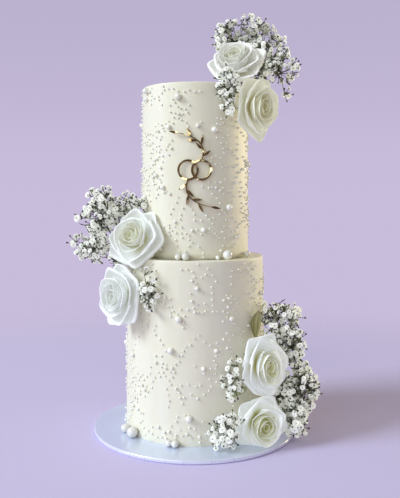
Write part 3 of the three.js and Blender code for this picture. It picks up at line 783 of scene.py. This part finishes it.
def petal_point(rose, ring, mood, across, up):
    """A point of a petal in its bloom's frame: `across` from -1 to 1, `up` from 0 at its foot to 1. The
    cup curves from the foot to the lip by way of the belly, and the fold is an arc that leads on."""
    size = Vector((rose["radius"], rose["height"]))
    foot = Vector(PETAL["foot"])
    belly = Vector(ring["belly"]) * size * mood["swell"]
    lip = Vector(ring["lip"]) * size * mood["reach"]
    cup_share = PETAL["cup_rows"] / (PETAL["cup_rows"] + PETAL["fold_rows"])
    slope = PETAL["slope"] * past(abs(across), PETAL["slope_from"]) ** 2
    highest = 1 - ring["corner"] * abs(across) - slope
    t = highest * min(up / cup_share, 1)
    at = foot * (1 - t) ** 2 + belly * 2 * t * (1 - t) + lip * t ** 2
    along = ((belly - foot) * (1 - t) + (lip - belly) * t).normalized()
    if up > cup_share:
        turn = math.radians(ring["fold"]) * mood["fold"] * past(up, cup_share)
        turn *= 1 - ring["tip"] * (1 - abs(across)) ** 3
        outward = Vector((along.y, -along.x))
        bend_radius = ring["bend"] * mood["fold"]
        at += bend_radius * (along * math.sin(turn) + outward * (1 - math.cos(turn)))
    half = math.radians(ring["half"]) * mood["width"]
    angle = mood["turn"] + half * across
    side = past(abs(across), PETAL["roll_from"]) ** 2 * up
    corner = math.radians(PETAL["straight"]) * abs(across)
    narrowing = math.cos(corner) + ring["peak"] * math.sin(corner) - 1
    radius = at.x / (1 + narrowing * min(1, 1.5 * up))
    radius += (ring["tuck"] * across + ring["roll"] * side) * min(1, 2 * up)
    ruffle = PETAL["ruffle"] * math.sin(PETAL["ruffles"] * across + mood["phase"]) * up ** 3
    z = at.y + ruffle - PETAL["droop"] * ring["roll"] * side
    return Vector((radius * math.cos(angle), radius * math.sin(angle), z))


def petal(bm, rose, partner, order, mood):
    """Adds one petal, as a grid of faces bent to its shape. Its UV map starts at its ring's number."""
    spin = Matrix.Rotation(rose["spin"] - math.radians(rose["facing"][0]), 4, "Z")
    place = bloom_frame(rose) @ Matrix.Diagonal((rose["squeeze"], 1, 1, 1)) @ spin

    def shape(across, up):
        return pressed(place @ petal_point(rose, PETAL_RINGS[order], mood, across, up), rose, partner)

    for vert in bent_grid(bm, PETAL["columns"], PETAL["cup_rows"] + PETAL["fold_rows"], shape):
        for loop in vert.link_loops:
            loop[bm.loops.layers.uv["petal"]].uv.x += order


def bloom(rose, partner, seed):
    """A whole rose as a bmesh of thin petals."""
    roll = dice(seed)
    bm = bmesh.new()
    bm.loops.layers.uv.new("petal")
    for order, ring in enumerate(PETAL_RINGS):
        for k in range(ring["petals"]):
            turn = k + PETAL["stagger"] * order + PETAL["stray"] * (next(roll) - 0.5)
            mood = {name: least + spread * next(roll) for name, (least, spread) in MOODS.items()}
            mood["turn"] = 2 * math.pi * turn / ring["petals"]
            mood["phase"] = 2 * math.pi * next(roll)
            petal(bm, rose, partner, order, mood)
    bmesh.ops.solidify(bm, geom=bm.faces[:], thickness=PETAL["thickness"])
    return bm


def petal_skin(rose):
    """What varies over a rose's petals. Their faint glow of their own is painted light, which stands in for
    light that passes through them.
    """
    def toned(base, share):
        return colour(*(min(255, share * part) for part in rose[base]))

    eye, eye_glow = (toned("eye", share) for share in PETAL_TONES["eye"])
    white, white_glow, lip_highlight = (toned("white", share) for share in PETAL_TONES["white"])

    def skin(place):
        spot = place.node("ShaderNodeUVMap", {"uv_map": "petal"})
        ring, up = spot.part("X"), spot.part("Y")
        ribs = spot.scaled(34, 1.6, 1).grain(1, 3)
        crumple = place.grain(90, 3)
        open_part = up.smooth(0.05, 0.4) * (1 - ring.smooth(2.0, 5.0) * 0.75)
        # The lip is painted lighter as a highlight.
        lip = up.smooth(0.55, 0.7)
        return {
            "Base Color": lip.between(open_part.between(eye, white), lip_highlight),
            "Emission Color": open_part.between(eye_glow, white_glow),
            "Roughness": 0.5 + crumple * 0.2,
            "Normal": bump(ribs * 0.35 + crumple * 0.5, 0.35, 0.0008),
        }

    return skin


CALYX = {
    "cup": (4.8, 3.6), "cup_at": -1.4, "sepals": 5, "length": 24, "width": 7.5, "hang": 0.8, "curl": 3.5,
    "thickness": 0.5, "stem": 1.6, "longest": 60,
}


def in_icing(at):
    """Whether a place lies inside a tier."""
    return any(
        at.z < tier["bottom"] + tier["height"] and math.hypot(at.x, at.y) < tier_radius(tier, at.z)
        for tier in (LOWER, UPPER)
    )


def calyx(rose, partner):
    """The green cup behind a bloom with its sepals, and the stem that runs from it into the icing."""
    wide, deep = CALYX["cup"]
    place = bloom_frame(rose)

    def sepal(across, up):
        half = CALYX["width"] / 2 * math.sin(math.pi * (0.2 + 0.78 * up))
        drop = CALYX["hang"] + CALYX["curl"] * up ** 3
        at = Vector((wide / 2 + up * CALYX["length"], -across * half, -drop))
        return pressed(turn @ at, rose, partner)

    bm = bmesh.new()
    for k in range(CALYX["sepals"]):
        turn = place @ Matrix.Rotation(2 * math.pi * k / CALYX["sepals"], 4, "Z")
        bent_grid(bm, 2, 8, sepal)
    bmesh.ops.solidify(bm, geom=bm.faces[:], thickness=CALYX["thickness"])
    cup = place @ Matrix.Translation((0, 0, CALYX["cup_at"])) @ Matrix.Diagonal((wide, wide, deep, 1))
    bmesh.ops.create_icosphere(bm, subdivisions=3, radius=1, matrix=cup)
    back = Vector(rose["base"])
    out = heading(*rose["facing"])
    reach = next(step for step in range(CALYX["longest"]) if in_icing(back - out * step))
    bmesh.ops.create_cone(
        bm, cap_ends=True, segments=12, radius1=CALYX["stem"], radius2=CALYX["stem"], depth=reach,
        matrix=place @ Matrix.Translation((0, 0, -reach / 2)),
    )
    return bm


def mottled(name, roughness, scale, detail, band, dark, light):
    """A material whose colour drifts from dark to light, as its noise rises through the band."""
    def skin(place):
        tone = place.grain(scale, detail).smooth(*band)
        return {"Base Color": tone.between(colour(*dark), colour(*light))}

    return finish(name, {"Roughness": roughness}, skin)


sepal_green = mottled("sepal", 0.55, 120, 2, (0.3, 0.7), (84, 104, 52), (128, 142, 84))
for order, rose in enumerate(ROSES):
    name = rose["name"]
    partner = ROSES[order ^ 1]  # the roses are listed in pairs
    piece(name + "_calyx", calyx(rose, partner), sepal_green, "leaf", name)
    # The petals' emission is painted light.
    constants = {"Specular IOR Level": 0.3, "Emission Strength": rose["painted_light"]}
    skin = finish(name + "_petal", constants, petal_skin(rose))
    blended(skin, "ShaderNodeBsdfTranslucent", {"Color": colour(248, 250, 247)}, 0.25)
    petals = piece(name + "_petals", bloom(rose, partner, 311 + 17 * order), skin, "rose_petal", name)
    rounding = petals.modifiers.new("rounding", "SUBSURF")
    rounding.levels = 1
    rounding.render_levels = 1

# ---- Baby's breath -------------------------------------------------------------------------------
# Eight bunches: a main stem to each lump, branches to its hubs, and a fan of thin stalks from each
# hub with a small double white flower at the end of each. Closed buds and narrow leaves sit among them.
# Flowers deep in a lump are painted darker as shade, and the outer ones glow with painted light.

# A hub lies at least this share of the way out in its lump, and sends out so many stalks or a few more.
HUB = {"nearest": 0.15, "reach": 0.8, "florets": 12, "more": 6}
# How much a stalk leans outwards in its lump, and away from the bunch's root
FAN = {"outwards": 0.6, "away": 0.3}
# A flower has from 0.6 of this radius up, stands off its hub with some room to the next one, and tilts
# off its stalk.
FLORET = {
    "radius": 4.9, "least": 0.6, "spread": 0.46, "nearest": 5, "reach": 10, "spacing": 5.4, "tilt": 0.5,
}
FLORET_AIR = {"wall": 1.5, "floor": 0.5}
LUMP_EDGE = {"least": 0.75, "spread": 0.5}  # how far out a lump ends, as a share of its radii
ROUND = 6.28  # the most that a flower or a leaf turns on its stalk, in radians
# Each lump of a bunch has its middle, its three radii and how many hubs it has. Flowers deep in a lump
# get painted shade, and `dim` paints the whole bunch darker, or lighter below 0.
BUNCHES = [
    {"name": "babys_breath_top", "seed": 71, "dim": 0.05, "bracts": 2,
     "root": (66, -8, 505), "lumps": [
         ((66, 16, 598), (35, 20, 45), 22),
         ((104, 14, 586), (33, 20, 39), 20),
         ((132, 6, 542), (23, 18, 37), 18),
         ((104, -6, 537), (16, 12, 14), 8),
     ]},
    {"name": "babys_breath_top_front", "seed": 83, "dim": -0.2, "bracts": 1,
     "root": (48, -58, 505), "lumps": [
         ((49, -80, 503), (22, 10, 33), 20),
     ]},
    {"name": "babys_breath_left", "seed": 97, "dim": -0.2, "bracts": 1,
     "root": (-90, -28, 252), "lumps": [
         ((-138, -42, 326), (35, 28, 41), 28),
         ((-146, -46, 278), (29, 26, 24), 18),
         ((-113, -32, 331), (26, 20, 32), 18),
         ((-112, -50, 257), (20, 14, 12), 10),
     ]},
    {"name": "babys_breath_left_wall", "seed": 101, "dim": -0.5, "bracts": 1,
     "root": (-66, -38, 320), "lumps": [
         ((-79, -46, 338), (10, 8, 9), 6),
     ]},
    {"name": "babys_breath_left_front", "seed": 113, "dim": -0.1, "bracts": 1,
     "root": (-62, -76, 246), "lumps": [
         ((-64, -98, 221), (13, 10, 30), 12),
     ]},
    {"name": "babys_breath_right", "seed": 127, "dim": 0.05, "bracts": 3,
     "root": (90, -34, 112), "lumps": [
         ((123, -48, 174), (34, 22, 24), 24),
         ((136, -46, 128), (21, 22, 34), 18),
         ((120, -50, 141), (15, 12, 14), 8),
         ((122, -52, 80), (15, 13, 30), 14),
         ((120, -44, 57), (17, 12, 18), 12),
         ((153, -50, 72), (28, 26, 37), 26),
         ((141, -63, 34), (23, 26, 30), 20),
     ]},
    {"name": "babys_breath_right_middle", "seed": 131, "dim": -0.5, "bracts": 0,
     "root": (50, -82, 92), "lumps": [
         ((52, -104, 100), (16, 9, 27), 12),
     ]},
    {"name": "babys_breath_right_low", "seed": 149, "dim": -0.5, "bracts": 0,
     "root": (42, -86, 34), "lumps": [
         ((44, -119, 32), (22, 16, 24), 18),
     ]},
]
# Petals in the ring, their reach, half width and rise, and the ring's turn
FLORET_RINGS = [(5, 1.0, 0.62, -0.1, 0.0), (5, 0.86, 0.5, 0.32, 0.63), (4, 0.55, 0.36, 0.6, 0.3)]
# Radii of the stems and of the calyx under each flower. Sag is a share of a stem's length.
STALK = {"main": 0.9, "branch": 0.6, "thin": 0.42, "calyx": 1.1, "calyx_long": 1.6, "sag": 0.12}
BUD = {"share": 0.9, "radius": 1.4, "stretch": 1.4, "nearest": 7, "reach": 10}
BRACT = {"length": 10, "width": 2.8, "bend": 1.6}


def any_direction(roll):
    """A direction drawn evenly from the sphere."""
    z = 2 * next(roll) - 1
    turn = 2 * math.pi * next(roll)
    flat = math.sqrt(1 - z * z)
    return Vector((flat * math.cos(turn), flat * math.sin(turn), z))


def fits(at, radius):
    """Whether a flower is clear of the tiers, the blooms and the board or the floor."""
    out = math.hypot(at.x, at.y)
    air = radius + FLORET_AIR["wall"]
    floor_height = board_top.z if out < board_top.x + air else 0
    in_tier = any(
        at.z < tier["bottom"] + tier["height"] + air and out < tier_radius(tier, at.z) + air
        for tier in (LOWER, UPPER)
    )
    in_bloom = any((bloom_egg(rose, radius).inverted() @ at).length < 1 for rose in ROSES)
    return at.z > floor_height + radius + FLORET_AIR["floor"] and not in_tier and not in_bloom


def florets_of(bunch):
    """Every flower of a bunch, as (place, radius, hub, how far out in its lump less the bunch's dim, which
    sets its painted shade), and every hub with its lump's middle."""
    roll = dice(bunch["seed"])
    root = Vector(bunch["root"])
    florets, hubs = [], []
    for lump_at, radii, hub_count in bunch["lumps"]:
        middle = Vector(lump_at)
        for _ in range(hub_count):
            side = any_direction(roll)
            reach = HUB["nearest"] + HUB["reach"] * math.sqrt(next(roll))
            hub = middle + side * Vector(radii) * reach
            hubs.append((hub, middle))
            away = (hub - root).normalized()
            for _ in range(HUB["florets"] + int(HUB["more"] * next(roll))):
                out = any_direction(roll) + side * FAN["outwards"] + away * FAN["away"]
                at = hub + out.normalized() * (FLORET["nearest"] + FLORET["reach"] * next(roll))
                radius = FLORET["radius"] * (FLORET["least"] + FLORET["spread"] * next(roll))
                from_middle = at - middle
                out_to = Vector(part / size for part, size in zip(from_middle, radii)).length
                inside = out_to < LUMP_EDGE["least"] + LUMP_EDGE["spread"] * next(roll)
                clear = all((at - other[0]).length > FLORET["spacing"] for other in florets)
                if fits(at, radius) and inside and clear:
                    florets.append((at, radius, hub, out_to - bunch["dim"]))
    return florets, hubs


def floret_shape():
    """A double flower of unit radius that faces +Z: open petals below, and cupped ones inside."""
    def cupped(across, up):
        wide = half * (0.25 + 0.75 * min(1, 1.6 * up)) * across
        long = reach * (0.08 + 0.92 * up) * (1 - 0.12 * abs(across) * up)
        rise = lift * math.sin(0.5 * math.pi * up) + 0.16 * abs(across) * up
        return Vector((long, wide, rise - 0.1 * up))

    bm = bmesh.new()
    bm.loops.layers.uv.new("petal")
    for petals, reach, half, lift, turn in FLORET_RINGS:
        for k in range(petals):
            verts = bent_grid(bm, 2, 2, cupped)
            spin = Matrix.Rotation(turn + 2 * math.pi * k / petals, 3, "Z")
            bmesh.ops.rotate(bm, cent=(0, 0, 0), matrix=spin, verts=verts)
    return as_mesh(bm, "floret")


def mark_shade(made, outward):
    """Notes how far out each flower of a joined mesh lies in its lump, as the x of its UV map, for the
    painted shade and glow that it sets.
    """
    layer = made.data.uv_layers["petal"].data
    spots = numpy.empty(2 * len(layer), dtype=numpy.float32)
    layer.foreach_get("uv", spots)
    each = spots.reshape(len(outward), -1, 2)
    each[:, :, 0] = numpy.array(outward)[:, None]
    layer.foreach_set("uv", spots)


def bract_shape():
    """A narrow pointed leaf along +Z, folded along its middle."""
    def folded(across, up):
        half = math.sin(math.pi * (0.06 + 0.9 * up)) * BRACT["width"] / 2
        return Vector((across * half, BRACT["bend"] * (up * up + 0.3 * abs(across)), up * BRACT["length"]))

    bm = bmesh.new()
    bent_grid(bm, 2, 5, folded)
    return as_mesh(bm, "bract")


def stalks(name, paths, material, node):
    """Thin stems along paths of (place, radius) points, as one closed mesh."""
    line = bpy.data.curves.new(name, "CURVE")
    line.dimensions = "3D"
    line.bevel_depth = 1.0
    line.bevel_resolution = 0
    line.use_fill_caps = True
    for path in paths:
        spline = line.splines.new("POLY")
        spline.points.add(len(path) - 1)
        for point, (at, radius) in zip(spline.points, path):
            point.co = (*at, 1)
            point.radius = radius
    drawn = placed(name, line)
    bpy.context.view_layer.update()
    bm = bmesh.new()
    bm.from_mesh(drawn.evaluated_get(bpy.context.evaluated_depsgraph_get()).to_mesh())
    bpy.data.curves.remove(line)
    return piece(name, bm, material, "leaf", node)


def sagging(start, end, thick, thin):
    """A stem from start to end that hangs a little and then turns up."""
    bow = Vector((0, 0, STALK["sag"] * (end - start).length))
    return [
        (start.lerp(end, share) - bow * 4 * share * (1 - share), thick + (thin - thick) * share)
        for share in (0, 0.33, 0.67, 1)
    ]


def floret_skin(place):
    spot = place.node("ShaderNodeUVMap", {"uv_map": "petal"})
    # Flowers deep in their lump are painted darker and glow less, and the outer ones glow with painted
    # light.
    outer = spot.part("X").smooth(0.3, 0.9)
    white = outer.between(colour(172, 170, 156), colour(252, 252, 250))
    return {
        "Base Color": spot.part("Y").smooth(0.05, 0.42).between(colour(82, 86, 52), white),
        "Emission Color": outer.between(colour(0, 0, 0), colour(246, 250, 244)),
    }


floret_white = blended(
    finish("babys_breath", {"Roughness": 0.7, "Emission Strength": 0.17}, floret_skin),
    "ShaderNodeBsdfTranslucent", {"Color": colour(248, 250, 240)}, 0.3,
)
# The stalks, buds and narrow leaves are near black, partly as painted shade in the gaps among the flowers.
stalk_green = mottled("stalk", 0.6, 60, 2, (0.3, 0.7), (40, 43, 24), (78, 82, 50))
bud_green = mottled("bud", 0.6, 140, 1, (0.4, 0.6), (34, 36, 20), (104, 106, 72))
floret, bud, bract = floret_shape(), ball(1), bract_shape()
bud_size = Matrix.Diagonal((BUD["radius"], BUD["radius"], BUD["stretch"] * BUD["radius"], 1))
for bunch in BUNCHES:
    name = bunch["name"]
    root = Vector(bunch["root"])
    florets, hubs = florets_of(bunch)
    roll = dice(bunch["seed"] + 1)
    middles = [Vector(lump_at) for lump_at, _, _ in bunch["lumps"]]
    paths = [sagging(root, middle, STALK["main"], STALK["branch"]) for middle in middles]
    paths += [sagging(middle, hub, STALK["branch"], STALK["thin"]) for hub, middle in hubs]
    bracts = [
        frame_at(hub, any_direction(roll), ROUND * next(roll))
        for hub, _ in hubs for _ in range(bunch["bracts"])
    ]
    bracts = [bed for bed in bracts if fits(bed @ Vector((0, 0, BRACT["length"])), BRACT["width"])]
    flowers, buds = [], []
    for at, radius, hub, _ in florets:
        out = (at - hub).normalized()
        facing = (out + FLORET["tilt"] * any_direction(roll)).normalized()
        flowers.append(frame_at(at, facing, ROUND * next(roll)) @ Matrix.Scale(radius, 4))
        neck = at - out * STALK["calyx_long"]
        paths.append(sagging(hub, neck, STALK["thin"], STALK["thin"]) + [(at, STALK["calyx"])])
        if next(roll) < BUD["share"]:
            out = (any_direction(roll) + out).normalized()
            tip = hub + out * (BUD["nearest"] + BUD["reach"] * next(roll))
            if fits(tip, BUD["radius"]):
                buds.append(frame_at(tip, out) @ bud_size)
                paths.append(sagging(hub, tip, STALK["thin"], STALK["thin"]))
    shown = piece(name + "_flowers", copies(floret, flowers), floret_white, "babys_breath", name)
    mark_shade(shown, [outward for _, _, _, outward in florets])
    if bracts:
        piece(name + "_bracts", copies(bract, bracts), bud_green, "leaf", name)
    piece(name + "_buds", copies(bud, buds), bud_green, "babys_breath", name)
    stalks(name + "_stalks", paths, stalk_green, name)

# ---- Leaves --------------------------------------------------------------------------------------
# Two rose leaves that show past the blooms on the right: thin, folded along the middle and arched. One
# stands up above the upper bloom, and the other reaches out to the left between the two blooms.

LEAVES = [
    {"name": "leaf_right_top", "foot": (86, -71, 150), "facing": (30, 80), "length": 40, "width": 15,
     "arch": 5, "spin": 0.3, "tint": ((126, 122, 66), (206, 202, 146))},
    {"name": "leaf_right_middle", "foot": (72, -84, 82), "facing": (-42, -12), "length": 34, "width": 14,
     "arch": 4, "spin": 0.4, "tint": ((168, 178, 122), (206, 212, 170))},
]
BLADE = {
    "columns": 12, "rows": 22, "thickness": 0.7, "blunt": 0.04, "fullness": 0.8, "ripple": 1.2,
    "ripples": 7, "fold": 1.8,
}


def blade(leaf):
    place = frame_at(leaf["foot"], heading(*leaf["facing"]), leaf["spin"])

    def arched(across, up):
        width = math.sin(math.pi * (BLADE["blunt"] + (1 - 2 * BLADE["blunt"]) * up)) ** BLADE["fullness"]
        ripple = BLADE["ripple"] * math.sin(BLADE["ripples"] * up) * across
        lift = leaf["arch"] * math.sin(math.pi * up) + ripple - BLADE["fold"] * abs(across)
        return place @ Vector((across * width * leaf["width"] / 2, lift, up * leaf["length"]))

    bm = bmesh.new()
    bm.loops.layers.uv.new("petal")
    bent_grid(bm, BLADE["columns"], BLADE["rows"], arched)
    bmesh.ops.solidify(bm, geom=bm.faces[:], thickness=BLADE["thickness"])
    return bm


def leaf_skin(leaf):
    dark, light = (colour(*tint) for tint in leaf["tint"])

    def skin(place):
        spot = place.node("ShaderNodeUVMap", {"uv_map": "petal"})
        midrib = 1 - place.maths("ABSOLUTE", spot.part("X") - 0.5).smooth(0.0, 0.05)
        streaks = spot.scaled(9, 0.8, 1).grain(1, 3)
        light_part = (streaks.smooth(0.35, 0.65) * 0.7 + midrib * 0.5).smooth(0.0, 1.0)
        return {
            "Base Color": light_part.between(dark, light),
            "Normal": bump(streaks + midrib, 0.4, 0.0006),
        }

    return skin


for leaf in LEAVES:
    green = finish(leaf["name"] + "_green", {"Roughness": 0.5}, leaf_skin(leaf))
    piece(leaf["name"] + "_blade", blade(leaf), green, "leaf", leaf["name"])
